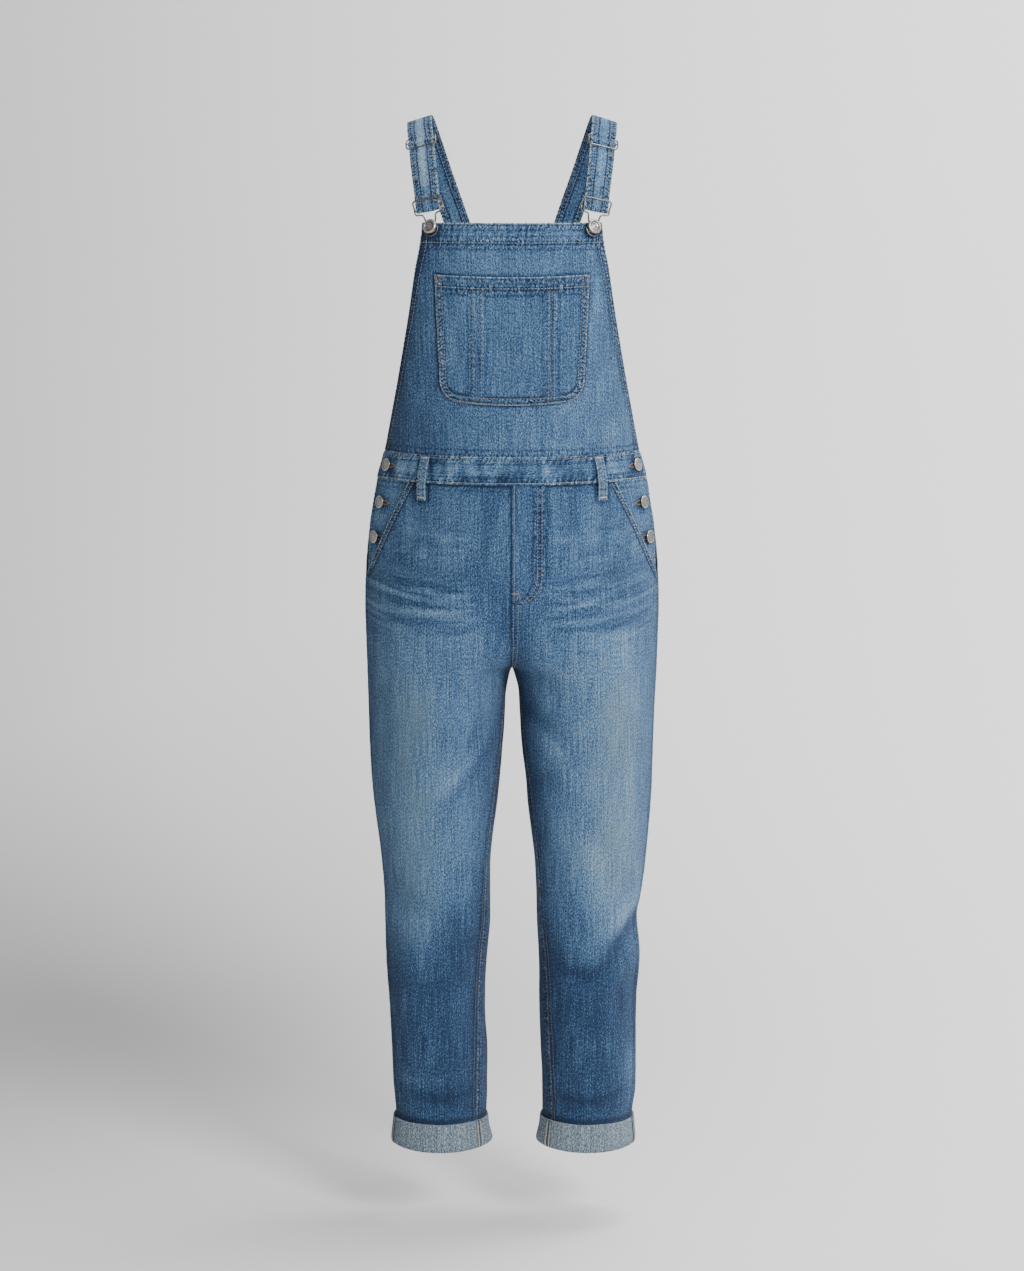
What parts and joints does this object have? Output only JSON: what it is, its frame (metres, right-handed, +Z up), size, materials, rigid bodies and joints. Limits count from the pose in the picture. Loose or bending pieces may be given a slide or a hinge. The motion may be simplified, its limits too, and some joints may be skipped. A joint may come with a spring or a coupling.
{
  "type": "denim dungarees",
  "caption": "Denim dungarees with a bib, wide straps held by wire clasps, side-buttoned waist, tapered legs and turned-up cuffs.",
  "frame": {"origin": "midway between the two straps where they cross the shoulders, which is where the wearer holds the garment up", "axes": "+Z up, the front faces -Y, +X is the viewer's right"},
  "size_m": [0.3946, 0.2436, 1.4003],
  "materials": {
    "denim": "washed mid-blue denim twill, faded on the thighs and straps, worn pale along its seams",
    "denim_reverse": "pale grey-blue reverse of the denim, on the turned-up cuffs",
    "button_metal": "aged nickel, satin",
    "wire_metal": "dark nickel wire, polished by wear"
  },
  "bodies": {
    "root": {"bib_front": "denim", "bib_back": "denim", "bib_pocket": "denim", "waistband_front": "denim", "waistband_back": "denim", "fly": "denim", "front_leg_L": "denim", "back_leg_L": "denim", "pocket_bearer_L": "denim", "side_placket_L": "denim", "strap_L": "denim", "belt_loop_FL": "denim", "belt_loop_BL": "denim", "cuff_L": "denim_reverse", "slider_L": "wire_metal", "clasp_L": "wire_metal", "bib_button_L": "button_metal", "side_button_L1": "button_metal", "side_button_L2": "button_metal", "side_button_L3": "button_metal", "front_leg_R": "denim", "back_leg_R": "denim", "pocket_bearer_R": "denim", "side_placket_R": "denim", "strap_R": "denim", "belt_loop_FR": "denim", "belt_loop_BR": "denim", "cuff_R": "denim_reverse", "slider_R": "wire_metal", "clasp_R": "wire_metal", "bib_button_R": "button_metal", "side_button_R1": "button_metal", "side_button_R2": "button_metal", "side_button_R3": "button_metal"}
  },
  "joints": []
}
